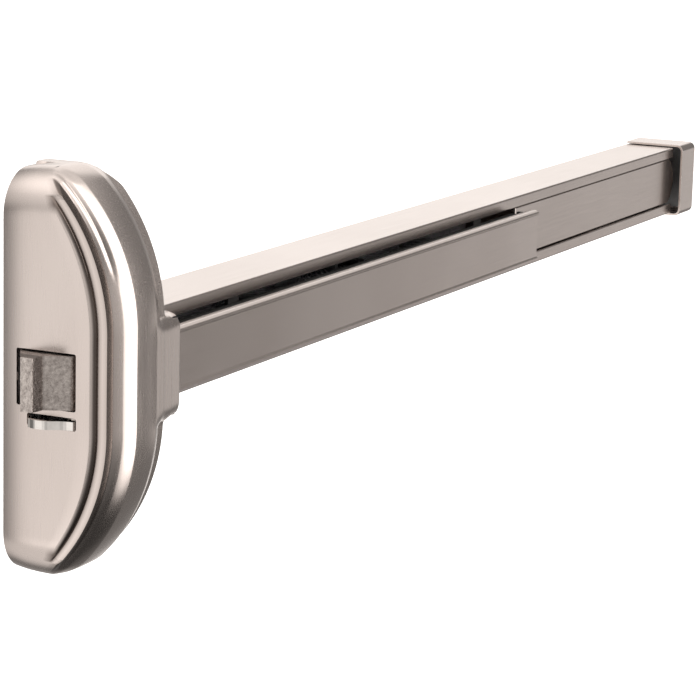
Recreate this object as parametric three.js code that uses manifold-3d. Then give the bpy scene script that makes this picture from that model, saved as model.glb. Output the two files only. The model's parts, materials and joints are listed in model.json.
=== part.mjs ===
// Panic exit bar for a hinged door, in millimetres.
// Origin: on the door face, at the middle of the head chassis. +X runs along the rail away from the latch,
// -Y points away from the door towards the person pushing, +Z is up.
import * as THREE from 'three';
import { mergeVertices } from 'three/addons/utils/BufferGeometryUtils.js';
import Module from 'manifold-3d';

const wasm = await Module();
wasm.setup();

// ---- driving dimensions -------------------------------------------------------------------------------

const FIT = 0.3;                 // gap left between two pieces that touch
const PIN_FIT = 0.1;             // radial gap of a pin in its hole
const SLOT_FIT = 0.4;            // gap each side of a pin in a slotted arm
const SHEET = 1.8;               // wall of the cover, the rail and the neck
const THIN = 1.5;                // wall of the end cap and the pad

const HEAD_W = 64;               // cover width across the latch side and the rail side
const HEAD_H = 209.4;            // cover height
const HEAD_CORNER = 24;          // corner radius of the cover seen from the front
const HEAD_DEPTH = 65.2;         // how far the bowed front stands from the door
const BOW_FLAT = 24;             // half height of the straight middle of the bow
const BOW_R = 103;               // radius of the bow above and below it
const ROLL_START = 9.5;          // half width of the front inside the roll
const CROWN = 0.4;               // the front's crown between the two rolls
const ROLL_SLOPES = [15, 43];    // the roll's slope at its two edges, in degrees
const ROLL_EDGE = HEAD_W / 2 - 10.6;   // half width over the roll
const LEDGE_EDGE = HEAD_W / 2 - 3.7;   // half width over the narrow ledge beside the roll
const LEDGE_DROP = 7;            // depth of the ledge below the front
const SIDE_DROP = 11.6;          // depth of the outer groove below the front

const NECK_END = HEAD_W / 2 + 8;       // the cover's neck over the rail stops here
const NECK_FRONT = HEAD_DEPTH - 3.6;   // neck front at its end; it slopes down from the cover's crown

const PAD_START = NECK_END - 7;
const PAD_END = 539.3;
const PAD_FRONT = NECK_FRONT - 6.3;
const PAD_RETURN = 6;            // depth of the pad's folded edges
const PAD_TRAVEL = 12.75;

const RAIL_HALF = 25.2;                // half height of the rail
const RAIL_DEPTH = PAD_FRONT - 16.5;   // rail front from the door
const LIP_EDGE = RAIL_HALF - 7.5;      // half height of the opening between the rail's lips
const RAIL_START = 8.5;
const RAIL_END = 850;
const PAD_HALF = LIP_EDGE - 0.5;
const CORE_HALF = PAD_HALF - 3.2;
const NECK_HALF = RAIL_HALF + 2.1;     // half height of the neck at its end
const NECK_ROOT = NECK_HALF + 4.7;     // half height of the neck where it leaves the cover

const FILLER_START = PAD_END + 1.7;
const FILLER_END = RAIL_END + 7.5;     // crown of the filler's curved end
const FILLER_SAG = 11;
const FILLER_HALF = LIP_EDGE - 0.8;
const FILLER_FRONT = RAIL_DEPTH - 1.6;

const CAP_START = RAIL_END + 2.5;
const CAP_END = CAP_START + 29.8;
const CAP_HALF = RAIL_HALF + 2.1;
const CAP_DEPTH = RAIL_DEPTH + 6.8;
const CAP_CORNER = 5;

const PIVOT = [10 - HEAD_W / 2, -38];  // latch and trigger pivot
const LATCH_R = 28.9;            // radius of the latch's back, inside the cover
const LATCH_LOW = -12.6;
const LATCH_HIGH = 14.7;
// The latch's corners and the trigger's curves, measured from the pivot.
const LATCH_FACE = [[-11.2, -2.8], [-17.4, 9.4], [-25.5, 10.4], [-25.5, 17.2], [-10, 27.1]];
const TRIGGER_FACE = [
  [-15.6, 18.1], [-17.2, 16.5], [-17.2, 13], [-17.2, 8.5], [-14.6, 5], [-11.6, 1], [-11.4, -4.4],
];
const LATCH_SWING = 45;          // degrees
const LINK_OFFSET = 13.5;        // link pin to latch pivot, across the rod
const LINK_HALF = 1.5;           // half thickness of the link plate and of the crank plates
const LINK_R = 4;                // radius of the link's round end
const TRIGGER_R = 24.5;
const TRIGGER_LOW = -22.6;
const TRIGGER_HIGH = -18.2;

const CRANK_X = [190, 430];
const CRANK_Y = -28.5;
const CRANK_SWING = 40;          // degrees
const GUIDE_X = [143, 478];
const ROD_Z = [LINK_HALF + SLOT_FIT, LINK_HALF + SLOT_FIT + 3];
const ROD_HALF = 3.2;
const PIN_R = 1.8;
const BASE_TOP = 4.3;            // top of the base plate inside the rail

// ---- sizes worked out from the ones above --------------------------------------------------------------

const HEAD_TOP = HEAD_H / 2;
const HALF_W = HEAD_W / 2;
const rad = (degrees) => degrees * Math.PI / 180;
const halfTan = (swing) => Math.tan(rad(swing / 2));
const ROD_TRAVEL = 2 * LINK_OFFSET * halfTan(LATCH_SWING);
const ROD_ARM = ROD_TRAVEL / (2 * halfTan(CRANK_SWING));
const PAD_ARM = PAD_TRAVEL / (2 * halfTan(CRANK_SWING));
const ROD_Y = CRANK_Y + ROD_ARM;
const LINK_Y = PIVOT[1] + LINK_OFFSET;
const LINK_X = PIVOT[0] - ROD_TRAVEL / 2;
const BASE_SEAT = -(BASE_TOP + FIT);
const fromPivot = ([x, y]) => [PIVOT[0] + x, PIVOT[1] + y];
const bowDrop = (z) => {
  const past = Math.max(0, Math.abs(z) - BOW_FLAT);
  return BOW_R - Math.sqrt(BOW_R * BOW_R - past * past);
};
const ROLL_SINES = ROLL_SLOPES.map((slope) => Math.sin(rad(slope)));
const ROLL_R = (ROLL_EDGE - ROLL_START) / (ROLL_SINES[1] - ROLL_SINES[0]);

// ---- solids --------------------------------------------------------------------------------------------

function toSolid(geometry) {
  const bare = geometry.clone();
  bare.deleteAttribute('normal');
  bare.deleteAttribute('uv');
  const merged = mergeVertices(bare, 1e-4);
  return new wasm.Manifold(new wasm.Mesh({
    numProp: 3,
    vertProperties: Float32Array.from(merged.attributes.position.array),
    triVerts: Uint32Array.from(merged.index.array),
  }));
}

const join = (...solids) => solids.reduce((all, next) => all.add(next));
const cut = (body, ...tools) => tools.reduce((left, tool) => left.subtract(tool), body);

function box(x0, x1, y0, y1, z0, z1) {
  const geometry = new THREE.BoxGeometry(x1 - x0, y1 - y0, z1 - z0);
  geometry.translate((x0 + x1) / 2, (y0 + y1) / 2, (z0 + z1) / 2);
  return toSolid(geometry);
}

function shapeOf(points) {
  return new THREE.Shape(points.map(([a, b]) => new THREE.Vector2(a, b)));
}

function extrusion(shape, depth, steps) {
  return new THREE.ExtrudeGeometry(shape, { depth, bevelEnabled: false, curveSegments: steps });
}

// A flat outline in x and y, raised along z.
function plate(shape, z0, z1, steps = 8) {
  const geometry = extrusion(shape, z1 - z0, steps);
  geometry.translate(0, 0, z0);
  return toSolid(geometry);
}

// A flat outline in x and z, run from y0 to y1.
function panel(shape, y0, y1, steps = 8) {
  const geometry = extrusion(shape, y1 - y0, steps);
  geometry.rotateX(Math.PI / 2);
  geometry.translate(0, y1, 0);
  return toSolid(geometry);
}

// A section in y and z, run from x0 to x1.
function section(shape, x0, x1, steps = 8) {
  const geometry = extrusion(shape, x1 - x0, steps);
  geometry.rotateY(Math.PI / 2);
  geometry.rotateX(Math.PI / 2);
  geometry.translate(x0, 0, 0);
  return toSolid(geometry);
}

function post(x, y, r, z0, z1, sides = 20) {
  const geometry = new THREE.CylinderGeometry(r, r, z1 - z0, sides);
  geometry.rotateX(Math.PI / 2);
  geometry.translate(x, y, (z0 + z1) / 2);
  return toSolid(geometry);
}

function barX(y, z, r, x0, x1, sides = 20) {
  const geometry = new THREE.CylinderGeometry(r, r, x1 - x0, sides);
  geometry.rotateZ(Math.PI / 2);
  geometry.translate((x0 + x1) / 2, y, z);
  return toSolid(geometry);
}

function barY(x, z, r, y0, y1, sides = 20) {
  const geometry = new THREE.CylinderGeometry(r, r, y1 - y0, sides);
  geometry.translate(x, (y0 + y1) / 2, z);
  return toSolid(geometry);
}

// A rounded rectangle centred on the origin.
function roundRect(halfA, halfB, r) {
  const shape = new THREE.Shape();
  shape.moveTo(-halfA + r, -halfB);
  shape.lineTo(halfA - r, -halfB);
  shape.absarc(halfA - r, -halfB + r, r, -Math.PI / 2, 0);
  shape.lineTo(halfA, halfB - r);
  shape.absarc(halfA - r, halfB - r, r, 0, Math.PI / 2);
  shape.lineTo(-halfA + r, halfB);
  shape.absarc(-halfA + r, halfB - r, r, Math.PI / 2, Math.PI);
  shape.lineTo(-halfA, -halfB + r);
  shape.absarc(-halfA + r, -halfB + r, r, Math.PI, Math.PI * 1.5);
  return shape;
}

// An outline with round ends from one point to the other.
function stadium(from, to, r) {
  const angle = Math.atan2(to[1] - from[1], to[0] - from[0]);
  const shape = new THREE.Shape();
  shape.absarc(to[0], to[1], r, angle - Math.PI / 2, angle + Math.PI / 2);
  shape.absarc(from[0], from[1], r, angle + Math.PI / 2, angle + Math.PI * 1.5);
  return shape;
}

// A solid filled between equal loops of x and y points, one loop at each z.
function loft(levels, loopAt) {
  const loops = levels.map((z) => loopAt(z).map(([x, y]) => [x, y, z]));
  const count = loops[0].length;
  const position = loops.flat(2);
  const index = [];
  for (let level = 0; level + 1 < loops.length; level += 1) {
    for (let i = 0; i < count; i += 1) {
      const a = level * count + i;
      const b = level * count + (i + 1) % count;
      index.push(a, b, b + count, a, b + count, a + count);
    }
  }
  const outline = loopAt(levels[0]).map(([x, y]) => new THREE.Vector2(x, y));
  const last = (loops.length - 1) * count;
  for (const [a, b, c] of THREE.ShapeUtils.triangulateShape(outline, [])) {
    index.push(a, c, b, last + a, last + b, last + c);
  }
  const geometry = new THREE.BufferGeometry();
  geometry.setAttribute('position', new THREE.Float32BufferAttribute(position, 3));
  geometry.setIndex(index);
  return toSolid(geometry);
}

class Helix extends THREE.Curve {
  constructor(start, axis, radius, length, turns) {
    super();
    Object.assign(this, { start, axis, radius, length, turns });
  }

  getPoint(t, target = new THREE.Vector3()) {
    const angle = t * this.turns * Math.PI * 2;
    const across = this.radius * Math.cos(angle);
    const up = this.radius * Math.sin(angle);
    const along = this.length * t;
    if (this.axis === 'x') {
      return target.set(this.start[0] + along, this.start[1] + across, this.start[2] + up);
    }
    return target.set(this.start[0] + across, this.start[1] + up, this.start[2] + along);
  }
}

function coil(start, axis, radius, length, turns, wire) {
  const ring = new THREE.Shape();
  ring.absarc(0, 0, wire, 0, Math.PI * 2);
  return toSolid(new THREE.ExtrudeGeometry(ring, {
    steps: Math.round(turns * 12),
    curveSegments: 3,
    bevelEnabled: false,
    extrudePath: new Helix(start, axis, radius, length, turns),
  }));
}

// A screw along X: the head's outer face is at x, and the shank runs back from it.
function screwX(x, y, z, headR, shankR, reach) {
  const head = barX(y, z, headR, x - 2, x);
  const shank = barX(y, z, shankR, x - reach, x - 1.9, 14);
  const socket = barX(y, z, headR * 0.45, x - 1.2, x + 1, 6);
  return cut(join(head, shank), socket);
}

// A screw along Y: the head's outer face is at y, and the shank runs towards the door.
function screwY(x, y, z, headR, shankR, reach) {
  const head = barY(x, z, headR, y, y + 1.8);
  const shank = barY(x, z, shankR, y + 1.7, y + reach, 14);
  const socket = barY(x, z, headR * 0.45, y - 1, y + 1, 6);
  return cut(join(head, shank), socket);
}

// ---- the named pieces ----------------------------------------------------------------------------------

const group = new THREE.Group();
group.name = 'exit_bar';

const FINISH = {
  satin: [0xb8b0a8, 0.85, 0.35],
  bright: [0xd8d8d8, 1, 0.15],
  cast: [0x9a928c, 0.8, 0.6],
  zinc: [0xa9adb0, 0.8, 0.45],
  steel: [0x8f9498, 0.9, 0.4],
  black: [0x1b1b1c, 0, 0.7],
  rubber: [0x141414, 0, 0.9],
  spring: [0x70757a, 1, 0.35],
};

function add(name, solid, finish) {
  const data = solid.getMesh();
  const geometry = new THREE.BufferGeometry();
  geometry.setAttribute('position', new THREE.BufferAttribute(Float32Array.from(data.vertProperties), 3));
  geometry.setIndex(Array.from(data.triVerts));
  geometry.computeVertexNormals();
  const [color, metalness, roughness] = FINISH[finish];
  const mesh = new THREE.Mesh(geometry, new THREE.MeshStandardMaterial({ color, metalness, roughness }));
  mesh.name = name;
  group.add(mesh);
}

// ---- head: cover ---------------------------------------------------------------------------------------

const HOLE_Y = -20;
const HOLE_Z = 46;
const COVER_SCREW_R = 2;

// Depth of the cover's front below its crown, at a distance x from the middle.
function frontDrop(x) {
  const sine = ROLL_SINES[0] + (x - ROLL_START) / ROLL_R;
  return CROWN + ROLL_R * (Math.cos(rad(ROLL_SLOPES[0])) - Math.sqrt(1 - sine * sine));
}

function coverLoop(z, half, drops) {
  const front = drops.map(([x, drop]) => [x, -(HEAD_DEPTH - bowDrop(z) - drop)]);
  const mirrored = front.slice().reverse().map(([x, y]) => [-x, y]);
  return [[half, 0], [-half, 0], ...mirrored, ...front];
}

function bowLevels(half, steps) {
  const levels = [];
  for (let i = -steps; i <= steps; i += 1) {
    levels.push(half * Math.sin(Math.PI / 2 * i / steps) * 0.35 + half * (i / steps) * 0.65);
  }
  return levels;
}

function headCover() {
  const rollSteps = [0, 0.25, 0.5, 0.75, 1].map((t) => ROLL_START + (ROLL_EDGE - ROLL_START) * t);
  const outerDrops = [
    [3, 0],
    ...rollSteps.map((x) => [x, frontDrop(x)]),
    [ROLL_EDGE + 0.5, LEDGE_DROP],
    [LEDGE_EDGE, LEDGE_DROP],
    [LEDGE_EDGE + 0.4, SIDE_DROP],
    [LEDGE_EDGE + 1.8, SIDE_DROP + 0.3],
    [HALF_W, SIDE_DROP + 2.2],
  ];
  const inner = HALF_W - SHEET;
  const innerDrops = [
    [3, SHEET],
    [ROLL_START, SHEET + CROWN],
    [ROLL_START + 5, SHEET + frontDrop(ROLL_START + 6)],
    [ROLL_EDGE - 3, SHEET + frontDrop(ROLL_EDGE - 2)],
    [ROLL_EDGE - 2, LEDGE_DROP + SHEET],
    [LEDGE_EDGE - SHEET, LEDGE_DROP + SHEET],
    [LEDGE_EDGE - 1.5, SIDE_DROP + 1.7],
    [inner - 0.9, SIDE_DROP + 2.1],
    [inner, SIDE_DROP + 3],
  ];
  const levels = bowLevels(HEAD_TOP, 9);
  const outline = roundRect(HALF_W, HEAD_TOP, HEAD_CORNER);
  const outer = loft(levels, (z) => coverLoop(z, HALF_W, outerDrops)).intersect(panel(outline, -80, 0, 8));
  const room = roundRect(inner, HEAD_TOP - SHEET, HEAD_CORNER - SHEET);
  const hollow = join(
    loft(levels, (z) => coverLoop(z, inner, innerDrops)),
    box(-inner, inner, -1, 1, -HEAD_TOP, HEAD_TOP),
  ).intersect(panel(room, -80, 1, 8));

  const neckShape = new THREE.Shape();
  neckShape.moveTo(ROLL_START, -NECK_ROOT);
  neckShape.lineTo(HALF_W - 3, -NECK_ROOT);
  neckShape.quadraticCurveTo(HALF_W + 3, -NECK_HALF - 0.6, NECK_END, -NECK_HALF);
  neckShape.lineTo(NECK_END, NECK_HALF);
  neckShape.quadraticCurveTo(HALF_W + 3, NECK_HALF + 0.6, HALF_W - 3, NECK_ROOT);
  neckShape.lineTo(ROLL_START, NECK_ROOT);
  const slope = plate(shapeOf([
    [ROLL_START, 0],
    [ROLL_START, -HEAD_DEPTH],
    [NECK_END, -NECK_FRONT],
    [NECK_END, 0],
  ]), -NECK_ROOT, NECK_ROOT);
  const neck = panel(neckShape, -HEAD_DEPTH, 0, 6).intersect(slope);
  const passage = box(HALF_W - 14, NECK_END + 1, -(NECK_FRONT - SHEET), 1, -(RAIL_HALF + FIT), RAIL_HALF + FIT);

  const latchHole = box(-HALF_W - 1, -inner + 2, -42.9, -8.5, LATCH_LOW - 0.7, LATCH_HIGH + 0.8);
  const triggerHole = box(-HALF_W - 1, -inner + 2, -43.1, -14.9, TRIGGER_LOW - 0.4, TRIGGER_HIGH + 1.3);
  const screwHoles = [-HOLE_Z, HOLE_Z].map((z) => barX(HOLE_Y, z, COVER_SCREW_R + FIT, inner - 4, HALF_W + 1));
  return cut(join(outer, neck), hollow, passage, latchHole, triggerHole, ...screwHoles);
}
add('head_cover', headCover(), 'satin');
for (const [name, z] of [['cover_screw_upper', HOLE_Z], ['cover_screw_lower', -HOLE_Z]]) {
  add(name, screwX(HALF_W + FIT + 2, HOLE_Y, z, 3.6, COVER_SCREW_R, 13), 'bright');
}

// ---- head: chassis, latch and trigger ------------------------------------------------------------------

const CHASSIS_HALF = HALF_W - SHEET - 0.7;
const SHELF_HIGH = LATCH_HIGH + 4;
const SHELF_LOW = TRIGGER_LOW - 4;
const LATCH_PIN_R = 2.5;

function headChassis() {
  const back = panel(roundRect(CHASSIS_HALF, HEAD_TOP - SHEET - 0.7, HEAD_CORNER - SHEET - 0.7), -3, 0, 6);
  const notch = box(RAIL_START - FIT, CHASSIS_HALF + 1, -4, 1, -(RAIL_HALF + FIT), RAIL_HALF + FIT);
  const shelves = [[SHELF_HIGH, SHELF_HIGH + 2.5], [SHELF_LOW - 2.5, SHELF_LOW]].map(([z0, z1]) => {
    const shelf = box(PIVOT[0] - 6, PIVOT[0] + 12, -44, -2, z0, z1);
    return cut(shelf, post(PIVOT[0], PIVOT[1], LATCH_PIN_R + PIN_FIT, z0 - 1, z1 + 1));
  });
  const tabs = [-HOLE_Z, HOLE_Z].map((z) => {
    const tab = box(CHASSIS_HALF - 3, CHASSIS_HALF, -28, -2, z - 8, z + 8);
    return cut(tab, barX(HOLE_Y, z, COVER_SCREW_R + PIN_FIT, CHASSIS_HALF - 5, CHASSIS_HALF + 1));
  });
  const doorHoles = [-78, 78].map((z) => barY(-14, z, 3, -5, 1));
  const plateHoles = [-13, 13].map((z) => barY(0, z, 1.6, -5, 1));
  return cut(join(cut(back, notch), ...shelves, ...tabs), ...doorHoles, ...plateHoles);
}
add('head_chassis', headChassis(), 'zinc');

add('latch_pin', join(
  post(PIVOT[0], PIVOT[1], LATCH_PIN_R, SHELF_LOW - 3.5, SHELF_HIGH + 2.9),
  post(PIVOT[0], PIVOT[1], LATCH_PIN_R + 1.6, SHELF_HIGH + 2.5 + FIT, SHELF_HIGH + 4.6),
), 'steel');

// The latch is cut through by a level slot that takes the link plate, and its link pin runs in a radial slot.
function latchBolt() {
  const face = LATCH_FACE.map(fromPivot);
  const arcEnd = face[face.length - 1];
  const arcFrom = Math.atan2(arcEnd[1] - PIVOT[1], arcEnd[0] - PIVOT[0]);
  const head = new THREE.Shape();
  head.moveTo(...arcEnd);
  face.slice(0, -1).reverse().forEach((point) => head.lineTo(...point));
  head.lineTo(PIVOT[0] - 3, PIVOT[1] - 6.4);
  head.lineTo(PIVOT[0] + 3, PIVOT[1] - 5.6);
  head.lineTo(PIVOT[0] + 6, PIVOT[1] + 3);
  head.absarc(PIVOT[0], PIVOT[1], LATCH_R, rad(98), arcFrom, false);
  const body = plate(head, LATCH_LOW, LATCH_HIGH, 10);
  const hub = post(PIVOT[0], PIVOT[1], 6.5, LATCH_LOW, LATCH_HIGH, 24);
  const bore = post(PIVOT[0], PIVOT[1], LATCH_PIN_R + PIN_FIT, LATCH_LOW - 1, LATCH_HIGH + 1);
  const kerf = box(LINK_X - LINK_R - 2, 0, LINK_Y - LINK_R - 2, 0, -LINK_HALF - 0.7, LINK_HALF + 0.7);
  const rest = rad(90 + LATCH_SWING / 2);
  const along = (r) => [PIVOT[0] + r * Math.cos(rest), PIVOT[1] + r * Math.sin(rest)];
  const reach = LINK_OFFSET / Math.cos(rad(LATCH_SWING / 2));
  const slot = plate(stadium(along(LINK_OFFSET - 0.6), along(reach + 0.6), PIN_R + SLOT_FIT), -10, 10, 6);
  return cut(join(body, hub), bore, kerf, slot);
}
add('latch_bolt', latchBolt(), 'cast');

function trigger() {
  const face = TRIGGER_FACE.map(fromPivot);
  const nose = new THREE.Shape();
  const arcFrom = Math.atan2(face[0][1] - PIVOT[1], face[0][0] - PIVOT[0]);
  nose.moveTo(...face[0]);
  nose.quadraticCurveTo(...face[1], ...face[2]);
  nose.quadraticCurveTo(...face[3], ...face[4]);
  nose.quadraticCurveTo(...face[5], ...face[6]);
  nose.lineTo(PIVOT[0] - 3, PIVOT[1] - 6);
  nose.lineTo(PIVOT[0] + 3.5, PIVOT[1] - 5);
  nose.lineTo(PIVOT[0] + 5, PIVOT[1] + 3);
  nose.absarc(PIVOT[0], PIVOT[1], TRIGGER_R, rad(104), arcFrom, false);
  const blade = plate(nose, TRIGGER_LOW, TRIGGER_HIGH, 6);
  const hub = post(PIVOT[0], PIVOT[1], 5.5, TRIGGER_LOW, LATCH_LOW - 0.6);
  return cut(join(blade, hub), post(PIVOT[0], PIVOT[1], LATCH_PIN_R + PIN_FIT, TRIGGER_LOW - 1, LATCH_LOW + 1));
}
add('trigger', trigger(), 'bright');

add('latch_spring', coil([PIVOT[0], PIVOT[1], LATCH_HIGH + 1.1], 'z', 4.4, 1.8, 1.6, 0.55), 'spring');
add('trigger_spring', coil([PIVOT[0], PIVOT[1], SHELF_LOW + 1], 'z', 4.4, 1.8, 1.6, 0.55), 'spring');

// ---- rail and what is fixed in it ----------------------------------------------------------------------

function railChannel() {
  const inside = RAIL_HALF - SHEET;
  const shape = shapeOf([
    [0, -RAIL_HALF], [0, RAIL_HALF], [-RAIL_DEPTH, RAIL_HALF], [-RAIL_DEPTH, LIP_EDGE],
    [-RAIL_DEPTH + SHEET, LIP_EDGE], [-RAIL_DEPTH + SHEET, inside], [-SHEET, inside],
    [-SHEET, -inside], [-RAIL_DEPTH + SHEET, -inside], [-RAIL_DEPTH + SHEET, -LIP_EDGE],
    [-RAIL_DEPTH, -LIP_EDGE], [-RAIL_DEPTH, -RAIL_HALF],
  ]);
  return section(shape, RAIL_START, RAIL_END);
}
add('rail_channel', railChannel(), 'satin');

const JOINT_SEAT = -(3 + FIT);
const JOINT_HALF = RAIL_HALF - 5.2;
const jointPlate = box(-6, 34, JOINT_SEAT - 2.4, JOINT_SEAT, -JOINT_HALF, JOINT_HALF);
add('rail_joint_plate', cut(jointPlate, ...[-13, 13].map((z) => barY(0, z, 2, -8, 0))), 'zinc');
for (const [name, z] of [['rail_joint_screw_upper', 13], ['rail_joint_screw_lower', -13]]) {
  add(name, screwY(0, JOINT_SEAT - 2.4 - FIT - 1.8, z, 3, 1.5, 7), 'steel');
}

const BASE_X = [56, 534];
const BASE_SCREW_X = [70, 262, 522];
const BASE_HALF = RAIL_HALF - 6.2;
const basePlate = box(BASE_X[0], BASE_X[1], -BASE_TOP, -(SHEET + FIT), -BASE_HALF, BASE_HALF);
add('rail_base_plate', cut(basePlate, ...BASE_SCREW_X.map((x) => barY(x, -14, 1.8, -8, 0))), 'zinc');
BASE_SCREW_X.forEach((x, i) => {
  add(`base_screw_${i + 1}`, screwY(x, -(BASE_TOP + FIT + 1.8), -14, 3, 1.5, 4), 'steel');
});

function crankBracket(x) {
  const tip = CRANK_Y - 4.5;
  const ear = shapeOf([[x - 5, tip], [x + 5, tip], [x + 7, BASE_SEAT], [x - 7, BASE_SEAT]]);
  const ears = [[7, 9], [-9, -7]].map(([z0, z1]) => plate(ear, z0, z1));
  const foot = box(x - 7, x + 7, BASE_SEAT - 2, BASE_SEAT, -15, 15);
  return cut(join(foot, ...ears), post(x, CRANK_Y, PIN_R + PIN_FIT, -12, 12));
}

// The plate is drawn at the middle of its swing and turned back to the rest position.
function bellCrank(x) {
  const rest = rad(CRANK_SWING / 2);
  const turn = (px, py) => [
    x + px * Math.cos(rest) - py * Math.sin(rest),
    CRANK_Y + px * Math.sin(rest) + py * Math.cos(rest),
  ];
  const stretch = 1 / Math.cos(rest);
  const arms = [[-1, 0, PAD_ARM], [0, 1, ROD_ARM]].map(([ax, ay, arm]) => {
    const tip = arm * stretch + 0.6;
    const blade = plate(stadium(turn(0, 0), turn(ax * tip, ay * tip), 4.2), -LINK_HALF, LINK_HALF, 6);
    const near = arm - 0.6;
    const slot = stadium(turn(ax * near, ay * near), turn(ax * tip, ay * tip), PIN_R + SLOT_FIT);
    return cut(blade, plate(slot, -3, 3, 6));
  });
  const hub = post(x, CRANK_Y, 4.8, -6.6, 6.6);
  return cut(join(...arms, hub), post(x, CRANK_Y, PIN_R + PIN_FIT, -8, 8));
}

function rodGuide(x) {
  const half = ROD_HALF + SLOT_FIT;
  const block = box(x - 4, x + 4, ROD_Y - half - 2.6, BASE_SEAT, ROD_Z[0] - 3.4, ROD_Z[1] + 3.4);
  const window = box(x - 5, x + 5, ROD_Y - half, ROD_Y + half, ROD_Z[0] - SLOT_FIT, ROD_Z[1] + SLOT_FIT);
  return cut(block, window);
}

const SIDES = ['left', 'right'];
CRANK_X.forEach((x, i) => {
  add(`crank_bracket_${SIDES[i]}`, crankBracket(x), 'zinc');
  add(`crank_pin_${SIDES[i]}`, join(
    post(x, CRANK_Y, PIN_R, -9.8, 9.3),
    post(x, CRANK_Y, PIN_R + 1.2, 9 + FIT, 10.6),
  ), 'steel');
  add(`bell_crank_${SIDES[i]}`, bellCrank(x), 'steel');
});
[92, 340].forEach((x, i) => add(`rod_guide_${SIDES[i]}`, rodGuide(x), 'black'));
const BUMPER_TIP = PAD_TRAVEL - (PAD_FRONT - THIN - 5.1);
GUIDE_X.forEach((x, i) => {
  add(`pad_bumper_${SIDES[i]}`, barY(x, -6, 3.2, BUMPER_TIP, BASE_SEAT, 16), 'rubber');
});

// ---- rod, link and return spring -----------------------------------------------------------------------

const ROD_START = 3;
const LINK_FOOT = [ROD_START + 1, ROD_START + 14];
const RIVETS = [LINK_FOOT[0] + 3, LINK_FOOT[1] - 3];
const SPRING_X = [252, 300];
const ROD_MID = (ROD_Z[0] + ROD_Z[1]) / 2;
const rodPins = CRANK_X.map((x) => x - ROD_TRAVEL / 2);

const rodBar = box(ROD_START, CRANK_X[1] + 22, ROD_Y - ROD_HALF, ROD_Y + ROD_HALF, ROD_Z[0], ROD_Z[1]);
add('link_rod', cut(
  rodBar,
  ...rodPins.map((x) => post(x, ROD_Y, PIN_R + PIN_FIT, 0, 8)),
  ...RIVETS.map((x) => post(x, ROD_Y, 1.2 + PIN_FIT, 0, 8, 12)),
), 'steel');
rodPins.forEach((x, i) => {
  add(`rod_pin_${SIDES[i]}`, join(
    post(x, ROD_Y, PIN_R, -LINK_HALF - 1.5, ROD_Z[1] + FIT + 1),
    post(x, ROD_Y, PIN_R + 1, ROD_Z[1] + FIT, ROD_Z[1] + FIT + 1),
  ), 'steel');
});

function latchLink() {
  const outline = stadium([LINK_X, LINK_Y], [LINK_FOOT[1] - LINK_R, LINK_Y], LINK_R);
  const bar = plate(outline, -LINK_HALF, LINK_HALF, 6);
  const foot = box(LINK_FOOT[0], LINK_FOOT[1], LINK_Y - 3, ROD_Y + ROD_HALF, -LINK_HALF, LINK_HALF);
  const holes = RIVETS.map((x) => post(x, ROD_Y, 1.2 + PIN_FIT, -4, 4, 12));
  return cut(join(bar, foot), post(LINK_X, LINK_Y, PIN_R + PIN_FIT, -4, 4), ...holes);
}
add('latch_link', latchLink(), 'steel');
add('latch_link_pin', post(LINK_X, LINK_Y, PIN_R, -8, 8), 'steel');
RIVETS.forEach((x, i) => {
  add(`link_rivet_${i + 1}`, join(
    post(x, ROD_Y, 1.2, -LINK_HALF - FIT - 0.9, ROD_Z[1] + FIT + 0.9, 12),
    post(x, ROD_Y, 2.2, -LINK_HALF - FIT - 0.9, -LINK_HALF - FIT, 12),
    post(x, ROD_Y, 2.2, ROD_Z[1] + FIT, ROD_Z[1] + FIT + 0.9, 12),
  ), 'steel');
});

const collar = box(SPRING_X[0], SPRING_X[0] + 4, ROD_Y - 7.6, ROD_Y + 7.6, ROD_MID - 7.6, ROD_MID + 7.6);
const collarHole = box(SPRING_X[0] - 1, SPRING_X[0] + 5, ROD_Y - ROD_HALF - PIN_FIT, ROD_Y + ROD_HALF + PIN_FIT,
  ROD_Z[0] - PIN_FIT, ROD_Z[1] + PIN_FIT);
add('spring_collar', cut(collar, collarHole), 'zinc');
const stop = box(SPRING_X[1], SPRING_X[1] + 4, ROD_Y - 8, BASE_SEAT, ROD_MID - 8, ROD_MID + 8);
const stopHole = box(SPRING_X[1] - 1, SPRING_X[1] + 5, ROD_Y - ROD_HALF - 0.5, ROD_Y + ROD_HALF + 0.5,
  ROD_Z[0] - 0.5, ROD_Z[1] + 0.5);
add('spring_bracket', cut(stop, stopHole), 'zinc');
const springFrom = SPRING_X[0] + 4 + 0.9;
const springLength = SPRING_X[1] - 0.9 - springFrom;
add('return_spring', coil([springFrom, ROD_Y, ROD_MID], 'x', 6, springLength, 7, 0.6), 'spring');

// ---- push pad ------------------------------------------------------------------------------------------

function pushPad() {
  const shape = shapeOf([
    [-PAD_FRONT, -PAD_HALF + 1.2], [-PAD_FRONT + 1.2, -PAD_HALF], [-PAD_FRONT + PAD_RETURN, -PAD_HALF],
    [-PAD_FRONT + PAD_RETURN, -PAD_HALF + THIN], [-PAD_FRONT + THIN, -PAD_HALF + THIN],
    [-PAD_FRONT + THIN, PAD_HALF - THIN], [-PAD_FRONT + PAD_RETURN, PAD_HALF - THIN],
    [-PAD_FRONT + PAD_RETURN, PAD_HALF], [-PAD_FRONT + 1.2, PAD_HALF], [-PAD_FRONT, PAD_HALF - 1.2],
  ].reverse());
  return section(shape, PAD_START, PAD_END);
}
add('push_pad', pushPad(), 'satin');

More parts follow.
